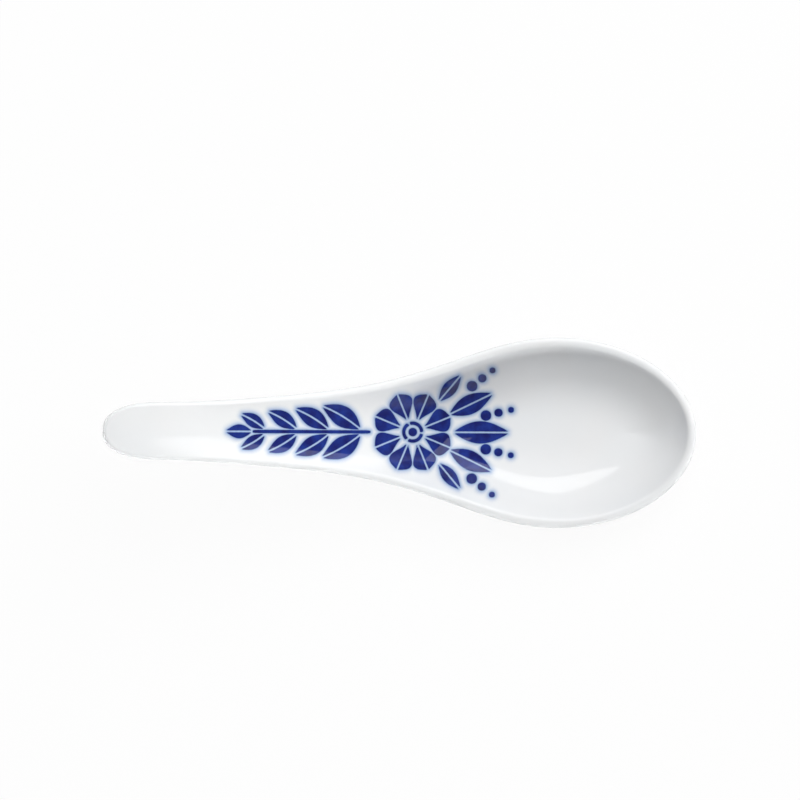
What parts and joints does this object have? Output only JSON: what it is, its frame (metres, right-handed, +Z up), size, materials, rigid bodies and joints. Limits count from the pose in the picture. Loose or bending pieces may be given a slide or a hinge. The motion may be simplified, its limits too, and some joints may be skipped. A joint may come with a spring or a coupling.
{
  "type": "chinese soup spoon",
  "caption": "Porcelain soup spoon with a deep flat-footed bowl and a rising channelled handle, clear glaze and a blue flower spray, for scooping and sipping soup.",
  "frame": {"origin": "middle of the bare foot, on the surface the spoon stands on", "axes": "+X from the handle to the nose of the bowl, +Z up, +Y to the left seen from the handle"},
  "size_m": [0.138, 0.0442, 0.0462],
  "materials": {
    "porcelain": "bare fired clay, fine and matt",
    "glaze": "clear gloss glaze over white porcelain",
    "cobalt": "cobalt blue fired into the glaze, glossy"
  },
  "bodies": {
    "root": {"porcelain_body": "porcelain", "glaze_coat": "glaze", "petals_left": "cobalt", "petals_right": "cobalt", "flower_ring": "cobalt", "flower_eye": "cobalt", "stem": "cobalt", "leaves_outer": "cobalt", "leaves_inner": "cobalt", "bud": "cobalt", "fan_outer": "cobalt", "fan_inner": "cobalt", "berries": "cobalt"}
  },
  "joints": []
}
